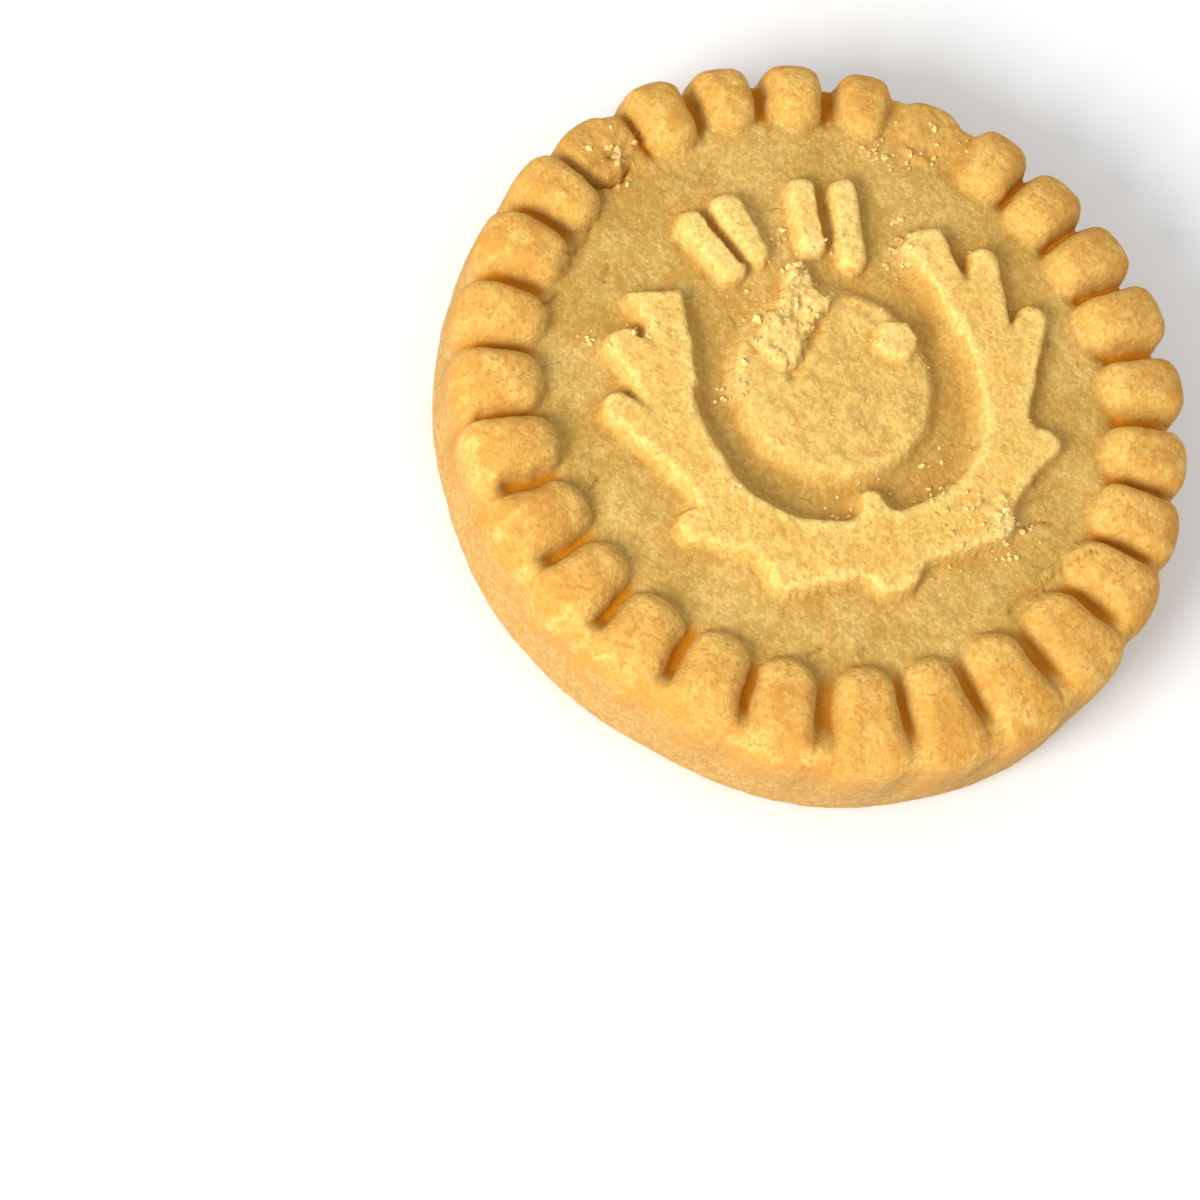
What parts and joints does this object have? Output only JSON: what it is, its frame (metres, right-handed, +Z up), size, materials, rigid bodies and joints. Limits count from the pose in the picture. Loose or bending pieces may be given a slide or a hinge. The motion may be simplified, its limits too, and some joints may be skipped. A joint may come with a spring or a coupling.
{
  "type": "shortbread biscuit",
  "caption": "Round moulded shortbread biscuit with a sunk field, a crimped rim of lobes and a raised thistle in a wreath of leaves.",
  "frame": {"origin": "middle of the flat underside", "axes": "+Z up through the moulded face, +Y from the thistle's stem to its flower, +X to the thistle's right"},
  "size_m": [0.0584, 0.0584, 0.0111],
  "materials": {
    "crust": "matt baked crust, sandy gold, browner on the lobes"
  },
  "bodies": {
    "root": {"biscuit": "crust"}
  },
  "joints": []
}
